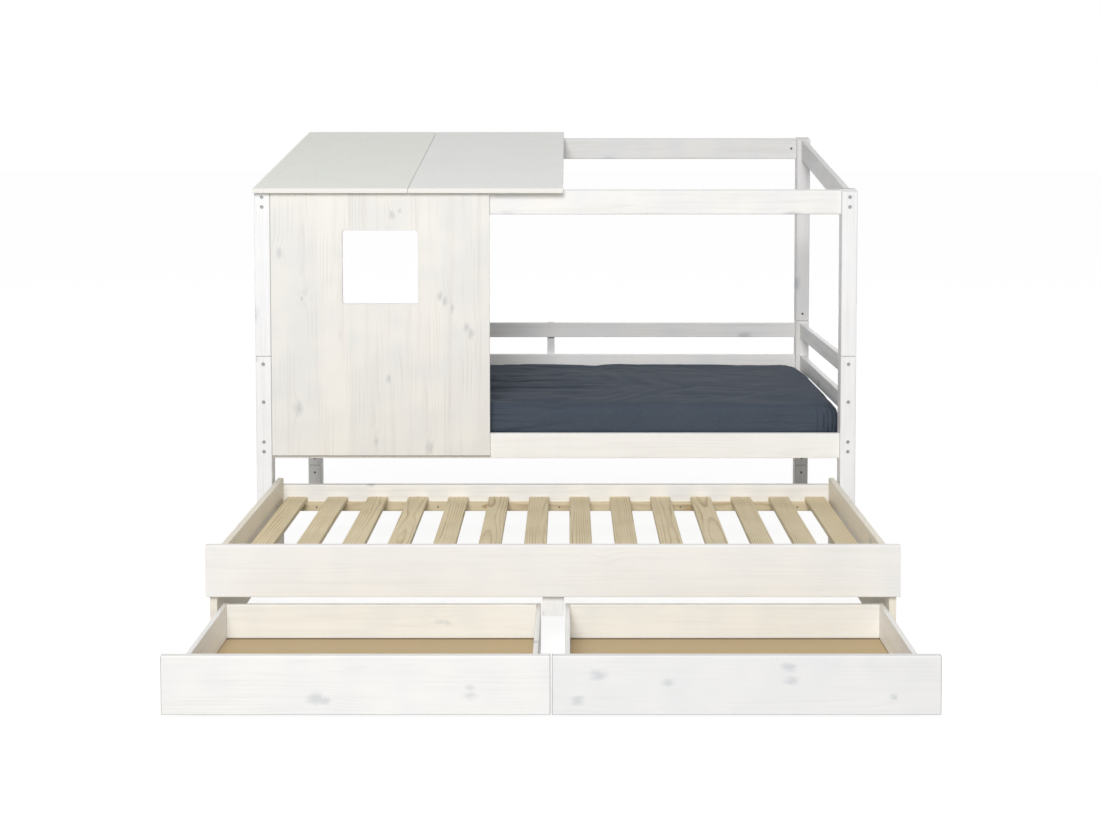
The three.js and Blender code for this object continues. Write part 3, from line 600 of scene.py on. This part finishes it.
def knots_of(node, axes):
    """The places and sizes of a board's knots, from its shares."""
    low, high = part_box(node)
    run, rise = ("xyz".index(axis) for axis in axes[:2])
    return [
        (low[run] + along * (high[run] - low[run]), low[rise] + across * (high[rise] - low[rise]), size)
        for along, across, size in KNOT_SHARES.get(node, ())
    ]


def soften(node):
    """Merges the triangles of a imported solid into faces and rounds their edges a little."""
    weld = node.modifiers.new("weld", "WELD")
    weld.merge_threshold = WELD_REACH
    flat = node.modifiers.new("flat faces", "DECIMATE")
    flat.decimate_type = "DISSOLVE"
    flat.angle_limit = FLAT_ANGLE
    bevel = node.modifiers.new("eased edges", "BEVEL")
    bevel.width = EDGE_EASE
    bevel.segments = 2
    bevel.limit_method = "ANGLE"
    bevel.angle_limit = EASE_ANGLE
    bevel.use_clamp_overlap = True


def dress_nodes():
    """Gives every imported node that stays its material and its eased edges."""
    wheel = nylon()
    slots = {part["node"]: part["material_slot"] for part in frame["record"]["subparts"]}
    for seed, (name, node) in enumerate(sorted(frame["nodes"].items())):
        low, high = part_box(name)
        if slots[name] == "hardboard":
            material = hardboard(name, low, high)
        elif slots[name] == "wheel_plastic":
            material = wheel
        elif slots[name] != "whitewashed_pine":
            continue
        elif name == "wall_panel":
            knots = knots_of(name, "zxy")
            material = pine("pine_wall_panel", "zxy", seed, WALL_WASH, low, high, STAVE_WIDTH, knots)
        elif name.startswith("roof_panel"):
            look = RIGHT_ROOF_WASH if name.endswith("right") else ROOF_WASH
            material = pine(f"pine_{name}", "yxz", seed, look, low, high)
        else:
            axes = grain_of(name)
            look, knots = wash_of(name), knots_of(name, axes)
            material = pine(f"pine_{name}", axes, seed, look, low, high, knots=knots)
        node.data.materials.clear()
        node.data.materials.append(material)
        soften(node)


def piece(name, form, material, body, smooth=False, second=None):
    """A new piece from a bmesh, on its body, with its material and a second material for some faces."""
    mesh = bpy.data.meshes.new(name)
    for face in form.faces:
        face.smooth = smooth
    form.to_mesh(mesh)
    form.free()
    mesh.materials.append(material)
    if second:
        mesh.materials.append(second)
    made = bpy.data.objects.new(name, mesh)
    bpy.context.scene.collection.objects.link(made)
    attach(made, body)
    return made


def eased_board(low, high, ease):
    """A planed board with its edges rounded over."""
    form = bmesh.new()
    bmesh.ops.create_cube(form, size=1)
    middle = (low + high) / 2
    for vertex in form.verts:
        vertex.co = middle + Vector(side * length for side, length in zip(vertex.co, high - low))
    bmesh.ops.bevel(form, geom=form.edges[:], offset=ease, segments=3, profile=0.5, affect="EDGES")
    return form


def slat_middles(node):
    """The slats' middles along x: one pitch but for the last few, which are given as shares of it."""
    low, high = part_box(node)
    shares = LAST_PITCH_SHARES[node]
    shares = (1,) * (SLAT_COUNT - 1 - len(shares)) + shares
    pitch = (high.x - low.x - 2 * LEDGER_END - SLAT_WIDTH) / sum(shares)
    first = low.x + LEDGER_END + SLAT_WIDTH / 2
    return [first + pitch * sum(shares[:index]) for index in range(SLAT_COUNT)]


def slatted_base(node, body, prefix, seed):
    """The slats and ledgers of one base, each a board of its own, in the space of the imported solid."""
    low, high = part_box(node)
    slat_bottom = high.z - SLAT_THICKNESS
    ledger_ys = ((low.y, low.y + LEDGER_WIDTH), (high.y - LEDGER_WIDTH, high.y))
    for row, (front, back) in zip(ROWS, ledger_ys):
        corner = Vector((low.x, front, slat_bottom - LEDGER_HEIGHT))
        far_corner = Vector((high.x, back, slat_bottom))
        name = f"{prefix}_ledger_{row}"
        material = pine(f"pine_{name}", "xzy", seed + len(row), RAW, corner, far_corner)
        ledger = piece(name, eased_board(corner, far_corner, SLAT_EASE / 2), material, body)
        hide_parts(node)
    for index, middle in enumerate(slat_middles(node)):
        corner = Vector((middle - SLAT_WIDTH / 2, low.y, slat_bottom))
        far_corner = Vector((middle + SLAT_WIDTH / 2, high.y, high.z))
        name = f"{prefix}_slat_{index + 1:02d}"
        material = pine(f"pine_{name}", "yxz", seed + 31 * (index + 1), RAW, corner, far_corner)
        slat = piece(name, eased_board(corner, far_corner, SLAT_EASE), material, body)
        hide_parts(node)


def ring(form, radius, height, sides=ROUND_SIDES):
    """A closed ring of vertices about the Z axis."""
    angles = [2 * math.pi * step / sides for step in range(sides)]
    places = [(radius * math.cos(angle), radius * math.sin(angle), height) for angle in angles]
    return [form.verts.new(place) for place in places]


def hexagon(form, radius, height, steps=6):
    """A six-sided ring with steps vertices on each side."""
    turns = [corner * math.pi / 3 for corner in range(7)]
    corners = [Vector((math.cos(turn), math.sin(turn), 0)) * radius for turn in turns]
    sides = list(zip(corners, corners[1:]))
    points = [first.lerp(second, step / steps) for first, second in sides for step in range(steps)]
    return [form.verts.new((point.x, point.y, height)) for point in points]


def skin(form, lower, upper):
    """Faces between two rings of the same count."""
    for step in range(len(lower)):
        after = (step + 1) % len(lower)
        form.faces.new((lower[step], lower[after], upper[after], upper[step]))


def lathed(form, profile, sides=ROUND_SIDES):
    """A turned wall on a flat underside; its last ring is left open."""
    rings = [ring(form, radius, height, sides) for radius, height in profile]
    for lower, upper in zip(rings, rings[1:]):
        skin(form, lower, upper)
    form.faces.new(list(reversed(rings[0])))
    return rings[-1]


def bolt_head(form):
    """A round head on a flange, with a chamfered rim and a six-sided socket, its face up at z 0."""
    chamfer = HEAD_RADIUS * 0.14
    profile = ((FLANGE_RADIUS, -HEAD_HEIGHT - FLANGE_HEIGHT), (FLANGE_RADIUS, -HEAD_HEIGHT),
               (HEAD_RADIUS, -HEAD_HEIGHT), (HEAD_RADIUS, -chamfer), (HEAD_RADIUS - chamfer, 0.0),
               (SOCKET_RADIUS * 1.3, 0.0))
    face = lathed(form, profile, HEAD_SIDES)
    # The flange's faces take the second material, a near-black steel that is painted shade for the dark gap
    # round the head in its hole
    for flange_face in form.faces:
        flange_face.material_index = int(flange_face.calc_center_median().z < -HEAD_HEIGHT * 0.99)
    mouth = hexagon(form, SOCKET_RADIUS, -SOCKET_RADIUS * 0.1)
    floor = hexagon(form, SOCKET_RADIUS, -SOCKET_DEPTH)
    skin(form, face, mouth)
    skin(form, mouth, floor)
    form.faces.new(floor)


def barrel_nut(form):
    """The end of a steel barrel with a chamfered rim and the thread's hole, its face up at z 0."""
    hole = NUT_RADIUS * 0.45
    profile = ((NUT_RADIUS, -NUT_HEIGHT), (NUT_RADIUS, -NUT_RADIUS * 0.12), (NUT_RADIUS * 0.88, 0.0),
               (hole * 1.2, 0.0), (hole, -hole * 0.3), (hole, -hole * 1.6))
    form.faces.new(lathed(form, profile))


def wood_screw(form):
    """A small countersunk head with a driver's recess, its face up at z 0."""
    hole = SCREW_RADIUS * 0.4
    profile = ((SCREW_RADIUS * 0.4, -SCREW_RADIUS * 0.6), (SCREW_RADIUS, 0.0),
               (SCREW_RADIUS * 0.96, SCREW_PROUD), (hole, SCREW_PROUD), (hole * 0.5, -hole * 0.5))
    form.faces.new(lathed(form, profile, SCREW_SIDES))


def fasteners(name, make, places, material, body, second=None):
    """One piece that holds a fastener at each place, its face looking the way that is given."""
    form = bmesh.new()
    for place, facing in places:
        start = len(form.verts)
        make(form)
        form.verts.ensure_lookup_table()
        turn = Vector(facing).to_track_quat("Z", "Y").to_matrix().to_4x4()
        matrix = Matrix.Translation(Vector(place)) @ turn
        bmesh.ops.transform(form, matrix=matrix, verts=form.verts[start:])
    return piece(name, form, material, body, second=second)


def middle_of(node):
    low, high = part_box(node)
    return (low + high) / 2


def top_rail_middle(y):
    """The height of the top rails' bolts at a distance behind the posts' front faces."""
    return FRONT_HEIGHT + math.tan(ROOF_PITCH) * y - TOP_RAIL_HEIGHT / 2


def pair(height):
    return [height - BOLT_SPACING / 2, height + BOLT_SPACING / 2]


def bolt_places():
    """Bolts through the posts: into the end rails from front and back, into the long rails from the ends."""
    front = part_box("lower_post_front_left")[0].y
    rail = middle_of("front_side_rail").z
    guards = [middle_of(f"{level}_guard_back").z for level in ("lower", "upper")]
    places = []
    for row in ROWS:
        for end in ENDS:
            low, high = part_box(f"lower_post_{row}_{end}")
            middle = (low + high) / 2
            top = top_rail_middle(middle.y - front)
            out_y = -1 if row == "front" else 1
            out_x = -1 if end == "left" else 1
            face_y = (low.y if row == "front" else high.y) - out_y * HEAD_SUNK
            face_x = (low.x if end == "left" else high.x) - out_x * HEAD_SUNK
            across = pair(rail) + [guard + GUARD_BOLT_RISE for guard in guards] + pair(top)
            places += [((middle.x, face_y, level), (0, out_y, 0)) for level in across]
            lengthwise = [rail, top] + (guards if row == "back" else [])
            places += [((face_x, middle.y, level), (out_x, 0, 0)) for level in lengthwise]
    return places


def nut_places():
    """Barrel nuts in the rails near their ends, and in the posts near their joints."""
    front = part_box("lower_post_front_left")[0].y
    rail = middle_of("front_side_rail").z
    places = []
    for end in ENDS:
        out_x = -1 if end == "left" else 1
        for row in ROWS:
            low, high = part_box(f"lower_post_{row}_{end}")
            middle = (low + high) / 2
            inward = 1 if row == "front" else -1
            near_x = (high.x if end == "left" else low.x) - out_x * NUT_FROM_END
            near_y = (high.y if row == "front" else low.y) + inward * NUT_FROM_END
            rails = [(f"{row}_side_rail", rail), (f"{row}_top_rail", top_rail_middle(middle.y - front))]
            for node, level in rails:
                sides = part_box(node)
                face = (sides[1].y if row == "front" else sides[0].y) - inward * NUT_SUNK
                places.append(((near_x, face, level), (0, inward, 0)))
            for guard in ("lower_guard_back", "upper_guard_back") if row == "back" else ():
                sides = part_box(guard)
                places.append(((near_x, sides[1].y - NUT_SUNK, middle_of(guard).z), (0, 1, 0)))
            post_face = (high.y if row == "front" else low.y) - inward * NUT_SUNK
            for joint in (low.z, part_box(f"upper_post_{row}_{end}")[0].z):
                for level in (joint - CROSS_HOLE_FROM_JOINT, joint + CROSS_HOLE_FROM_JOINT):
                    places.append(((middle.x, post_face, level), (0, inward, 0)))
            crossings = [("end_rail", pair(rail)), ("top_end_rail", pair(top_rail_middle(near_y - front)))]
            for level in ("lower", "upper"):
                guard = middle_of(f"{level}_guard_back").z
                crossings.append((f"{level}_guard", [guard + GUARD_BOLT_RISE]))
            for node, levels in crossings:
                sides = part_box(f"{node}_{end}")
                face = (sides[1].x if end == "left" else sides[0].x) + out_x * NUT_SUNK
                places += [((face, near_y, level), (-out_x, 0, 0)) for level in levels]
    return places


def ledger_screw_places(node):
    """Screws through a base's ledgers into the panels behind them, between every third pair of slats."""
    low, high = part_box(node)
    height = high.z - SLAT_THICKNESS - LEDGER_HEIGHT / 2
    middles = slat_middles(node)
    places = []
    for gap in range(0, SLAT_COUNT - 1, SLATS_PER_SCREW):
        x = (middles[gap] + middles[gap + 1]) / 2
        places.append(((x, low.y + LEDGER_WIDTH, height), (0, 1, 0)))
        places.append(((x, high.y - LEDGER_WIDTH, height), (0, -1, 0)))
    return places


def add_fasteners():
    head = steel("bolt_steel", linear(176, 177, 179), linear(140, 141, 144), 0.35)
    # Painted shade: the flange is near-black, for the shadow in the gap round each bolt head
    flange = steel("flange_steel", linear(52, 53, 54), linear(34, 35, 36), 0.5)
    nut = steel("nut_steel", linear(120, 120, 119), linear(92, 92, 91), 0.5)
    fasteners("post_bolts", bolt_head, bolt_places(), head, "bed", flange)
    fasteners("barrel_nuts", barrel_nut, nut_places(), nut, "bed")
    screws = (("trundle_slatted_base", "trundle"), ("bed_slatted_base", "bed"))
    for node, body in screws:
        fasteners(f"{body}_ledger_screws", wood_screw, ledger_screw_places(node), nut, body)


def mattress_outline(half, inset, draw_in):
    """The mattress from above: sides that draw in between round corners."""
    corner = MATTRESS_CORNER - inset
    straight = [length - MATTRESS_CORNER for length in half]
    points = []
    for index in range(4):
        turn = index * math.pi / 2
        out = Vector((round(math.cos(turn)), round(math.sin(turn))))
        run = Vector((-out.y, out.x)) * straight[1 - index % 2]
        reach = out * straight[index % 2]
        for step in range(1, MATTRESS_SIDE_STEPS):
            share = 2 * step / MATTRESS_SIDE_STEPS - 1
            points.append(reach + out * (corner - draw_in * (1 - share ** 2)) + run * share)
        for step in range(MATTRESS_CORNER_STEPS + 1):
            angle = turn + step / MATTRESS_CORNER_STEPS * math.pi / 2
            points.append(reach + run + corner * Vector((math.cos(angle), math.sin(angle))))
    return points


def mattress_block(low, high):
    """The mattress without its creases, from its underside to its crown."""
    half = ((high.x - low.x) / 2, (high.y - low.y) / 2)
    height = high.z - low.z
    shoulder = height - MATTRESS_CROWN
    turns = [step / MATTRESS_EDGE_STEPS * math.pi / 2 for step in range(MATTRESS_EDGE_STEPS + 1)]
    bends = [(MATTRESS_EDGE * (1 - math.sin(turn)), MATTRESS_EDGE * (1 - math.cos(turn))) for turn in turns]
    rings = [(inset, rise, 1) for inset, rise in bends]
    rings += [(inset, shoulder - rise, 1) for inset, rise in reversed(bends)]
    rings += [(MATTRESS_EDGE, height - MATTRESS_CROWN * share ** 2, share) for share in CROWN_SHARES]
    form = bmesh.new()
    layers = []
    for inset, level, share in rings:
        draw_in = MATTRESS_DRAW_IN * math.sin(math.pi * level / height)
        points = mattress_outline(half, inset, draw_in)
        layers.append([form.verts.new((point.x * share, point.y * share, level)) for point in points])
    for lower, upper in zip(layers, layers[1:]):
        skin(form, lower, upper)
    form.faces.new(list(reversed(layers[0])))
    form.faces.new(layers[-1])
    middle = (low + high) / 2
    bmesh.ops.translate(form, vec=(middle.x, middle.y, low.z), verts=form.verts[:])
    return form


def shown_mesh(made):
    """A copy of a piece's mesh with its modifiers applied."""
    bpy.context.view_layer.update()
    shown = made.evaluated_get(bpy.context.evaluated_depsgraph_get())
    return bpy.data.meshes.new_from_object(shown)


def step_between(value, start, stop):
    """0 before the start and 1 past the stop, with a smooth climb between."""
    share = min(max((value - start) / (stop - start), 0), 1)
    return share * share * (3 - 2 * share)


def crease_share(place, low, high):
    """How deep in a crease a place lies, from 0 to 1: long ones by the wall panel, and a few elsewhere."""
    drift = 0.5 * noise.noise(Vector((place.x * 1.7, place.y * 2.2, 8)))
    across = place.y - low.y + 0.9 * (place.z - high.z)
    line = noise.noise(Vector((place.x * 0.9, across * 15 + drift, 2)))
    width = 0.13 + 0.06 * noise.noise(Vector((place.x * 5, across * 5, 4)))
    valley = max(0, 1 - abs(line) / width) ** 1.5
    by_wall = step_between(place.x, WALL_EDGE + 0.55, WALL_EDGE + 0.10)
    back_part = step_between(place.y, low.y + 0.08, low.y + 0.28)
    patch = step_between(noise.noise(Vector((place.x * 1.9 + 3, place.y * 3.5, 6))), 0.0, 0.3)
    return valley * max(by_wall * back_part, 0.5 * patch)


def faint_folds(place, low, high):
    """How far the sheet stands out or in before it settles, most beside the wall panel."""
    share = (place.x - low.x) / (high.x - low.x)
    slack = 0.25 + 0.75 * (1 - min(max((share - 0.40) / 0.22, 0), 1))
    long_folds = noise.noise(Vector((place.x * 1.3, place.y * 17, place.z * 4)))
    fine_folds = noise.noise(Vector((place.x * 2.6 + 7, place.y * 41 + place.x * 3, place.z * 9)))
    drift = noise.noise(Vector((place.x * 3, place.y * 3, place.z * 3 + 5)))
    diagonal = noise.noise(Vector(((place.x - place.y) * 1.1, (place.x * 0.25 + place.y) * 9, 3)))
    ridge = max(0, 1 - 5 * abs(diagonal)) ** 2
    return slack * (LONG_FOLD * long_folds + FINE_FOLD * fine_folds) + DRIFT * drift + RIDGE * ridge


def corner_gather(place, low, high):
    """The short folds, from -1 to 1, where the fitted sheet is gathered at the mattress's corners."""
    middle = (low + high) / 2
    corner = Vector((
        math.copysign((high.x - low.x) / 2 - MATTRESS_CORNER, place.x - middle.x) + middle.x,
        math.copysign((high.y - low.y) / 2 - MATTRESS_CORNER, place.y - middle.y) + middle.y,
    ))
    away = Vector((place.x, place.y)) - corner
    outward_x = math.copysign(1, place.x - middle.x) * away.x
    outward_y = math.copysign(1, place.y - middle.y) * away.y
    closeness = min(outward_x, outward_y)
    share = min(max(1 + closeness / GATHER_REACH, 0), 1)
    height = (place.z - low.z) / (high.z - low.z)
    fold = math.sin(GATHER_TURNS * math.atan2(outward_y, outward_x) + 3 * noise.noise(place * 9))
    return fold * share * max(0, 1 - 0.6 * height) ** 0.5


def settle(place, low, high):
    """How the foam gives: the top droops towards the corners, and the ends swell between them."""
    middle, half = (low + high) / 2, (high - low) / 2
    from_end = half.x - abs(place.x - middle.x)
    from_side = half.y - abs(place.y - middle.y)
    height = (place.z - low.z) / (high.z - low.z)
    nearness = max(0, 1 - math.hypot(from_end / CORNER_REACH[0], from_side / CORNER_REACH[1])) ** 2
    swell = (1 - ((place.y - middle.y) / half.y) ** 2) * max(0, 1 - from_end / END_REACH) ** 2
    outward = math.copysign(END_SWELL * 0.5 * swell * math.sin(math.pi * height), place.x - middle.x)
    return Vector((outward, 0, height * (END_SWELL * swell - CORNER_DROOP * nearness)))


def above_hem(place, low):
    """0 on the mattress's underside, where the hem holds the sheet, and 1 above its rounded edge."""
    return min(max((place.z - low.z) / HEM_HEIGHT, 0), 1)


def hold_sheet(sheet, low):
    """Weights for the simulation: how firmly each point is held, and where the cloth has no slack."""
    held = sheet.vertex_groups.new(name="held")
    taut = sheet.vertex_groups.new(name="taut")
    for vertex in sheet.data.vertices:
        at_hem = 1 - step_between(vertex.co.z - low.z, *HEM_RANGE)
        held.add([vertex.index], max(at_hem, FOAM_HOLD), "REPLACE")
        by_wall = step_between(vertex.co.x, *SLACK_RANGE)
        taut.add([vertex.index], (1 - SLACK_SHARE) * (1 - by_wall), "REPLACE")
    return held, taut


def pull_sheet(mesh, low):
    """The sheet as it settles: slack cloth that buckles into soft folds over the foam that holds it."""
    sheet = bpy.data.objects.new("sheet", mesh)
    bpy.context.scene.collection.objects.link(sheet)
    before = [vertex.co.copy() for vertex in mesh.vertices]
    held, taut = hold_sheet(sheet, low)
    cloth = sheet.modifiers.new("cloth", "CLOTH")
    settings = cloth.settings
    settings.quality = SHEET_QUALITY
    settings.mass = SHEET_MASS
    settings.bending_stiffness = SHEET_BENDING
    settings.use_pressure = True
    settings.uniform_pressure_force = SHEET_PRESSURE
    settings.vertex_group_mass = held.name
    settings.pin_stiffness = FOAM_STIFFNESS
    settings.vertex_group_shrink = taut.name
    settings.shrink_min = -SHEET_SLACK
    settings.shrink_max = 0
    settings.effector_weights.gravity = 0
    cloth.point_cache.frame_start = 1
    cloth.point_cache.frame_end = SHEET_FRAMES
    for step in range(1, SHEET_FRAMES + 1):
        bpy.context.scene.frame_set(step)
    settled = shown_mesh(sheet)
    bpy.data.objects.remove(sheet)
    bpy.context.scene.frame_set(1)
    for vertex, start in zip(settled.vertices, before):
        move = vertex.co - start
        vertex.co = start + move * min(1, SHEET_REACH / max(move.length, SHEET_REACH))
    return settled


def even_block(low, high):
    """The plain mattress with even faces, its sheet already a little uneven."""
    block = piece("mattress_block", mattress_block(low, high), sheet_cloth(), "bed")
    remesh = block.modifiers.new("even faces", "REMESH")
    remesh.mode = "VOXEL"
    remesh.voxel_size = MATTRESS_VOXEL
    mesh = shown_mesh(block)
    cloth = block.data.materials[0]
    bpy.data.objects.remove(block)
    moves = [(vertex, vertex.normal.copy()) for vertex in mesh.vertices]
    for vertex, normal in moves:
        vertex.co += normal * above_hem(vertex.co, low) * (faint_folds(vertex.co, low, high) - FOLD_LEVEL)
    return mesh, cloth


def smoothed(mesh):
    """The mesh with each face split in four and smoothed."""
    carrier = bpy.data.objects.new("smoothing", mesh)
    bpy.context.scene.collection.objects.link(carrier)
    rounding = carrier.modifiers.new("smooth cloth", "SUBSURF")
    rounding.levels = 1
    finer = shown_mesh(carrier)
    bpy.data.objects.remove(carrier)
    return finer


def add_mattress():
    """The mattress in its fitted sheet: remeshed evenly, simulated, smoothed, then creased by point."""
    low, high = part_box("mattress")
    margin = Vector((MATTRESS_MARGIN,) * 3)
    low, high = low + margin, high - margin
    low.z -= MATTRESS_MARGIN
    mesh, cloth = even_block(low, high)
    mesh = pull_sheet(mesh, low)
    form = bmesh.new()
    form.from_mesh(smoothed(mesh))
    form.normal_update()
    depths = form.verts.layers.float.new(CREASE_NAME)
    moves = [(vertex, vertex.normal.copy()) for vertex in form.verts]
    for vertex, normal in moves:
        up = above_hem(vertex.co, low)
        valley = crease_share(vertex.co, low, high)
        gather = corner_gather(vertex.co, low, high)
        # Each point keeps how deep it lies in a crease or gather, which the sheet's material turns into
        # painted shade
        vertex[depths] = up * max(valley, -gather)
        vertex.co += normal * up * (GATHER_HEIGHT * gather - CREASE_HEIGHT * valley)
        vertex.co += settle(vertex.co, low, high)
        vertex.co.z = min(vertex.co.z, high.z + END_SWELL)
    sheet = piece("fitted_mattress", form, cloth, "bed", smooth=True)
    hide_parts("mattress")


def background():
    """A world that lights evenly and looks white to the camera and in reflections."""
    world = bpy.data.worlds.new("studio")
    bpy.context.scene.world = world
    nodes = Nodes(world)
    lamp, white = (
        nodes.add("ShaderNodeBackground", None, {"Color": WHITE, "Strength": strength}).outputs[0]
        for strength in (SKY_STRENGTH, 1)
    )
    nodes.add("ShaderNodeOutputWorld", None, {"Surface": nodes.mix_shaders(nodes.seen(), lamp, white)})


def floor():
    """A pale floor that looks white, keeps the object's shadow, and throws soft light back up."""
    form = bmesh.new()
    bmesh.ops.create_grid(form, x_segments=4, y_segments=4, size=FLOOR_HALF)
    mesh = bpy.data.meshes.new("floor")
    form.to_mesh(mesh)
    form.free()
    material = bpy.data.materials.new("floor_white")
    nodes = Nodes(material)
    bounce, shade = (
        nodes.add("ShaderNodeBsdfDiffuse", None, {"Color": (level, level, level, 1)}).outputs[0]
        for level in (FLOOR_BOUNCE, FLOOR_SHADE)
    )
    glow = nodes.add("ShaderNodeEmission", None, {"Strength": FLOOR_GLOW}).outputs[0]
    lit = nodes.add("ShaderNodeAddShader", None, {0: shade, 1: glow}).outputs[0]
    nodes.add("ShaderNodeOutputMaterial", None, {"Surface": nodes.mix_shaders(nodes.seen(), bounce, lit)})
    mesh.materials.append(material)
    made = bpy.data.objects.new("floor", mesh)
    bpy.context.scene.collection.objects.link(made)
    made.location.z = -FLOOR_DROP


def area_light(name, place, target, size, power):
    """A square soft light that looks at a point."""
    lamp = bpy.data.lights.new(name, "AREA")
    lamp.shape = "SQUARE"
    lamp.size = size
    lamp.energy = power
    made = bpy.data.objects.new(name, lamp)
    made.location = place
    made.rotation_euler = (Vector(target) - Vector(place)).to_track_quat("-Z", "Y").to_euler()
    bpy.context.scene.collection.objects.link(made)


def camera():
    data = bpy.data.cameras.new("camera")
    data.sensor_fit = "HORIZONTAL"
    data.lens = CAMERA_LENS
    data.shift_x, data.shift_y = CAMERA_SHIFT
    made = bpy.data.objects.new("camera", data)
    made.location = CAMERA_PLACE
    made.rotation_euler = CAMERA_TURN
    bpy.context.scene.collection.objects.link(made)
    bpy.context.scene.camera = made


camera()
background()
floor()
for light in LIGHTS:
    area_light(*light)
bpy.context.scene.view_settings.view_transform = "Standard"
dress_nodes()
slatted_base("trundle_slatted_base", "trundle", "guest_bed", 400)
slatted_base("bed_slatted_base", "bed", "bed", 900)
add_fasteners()
add_mattress()
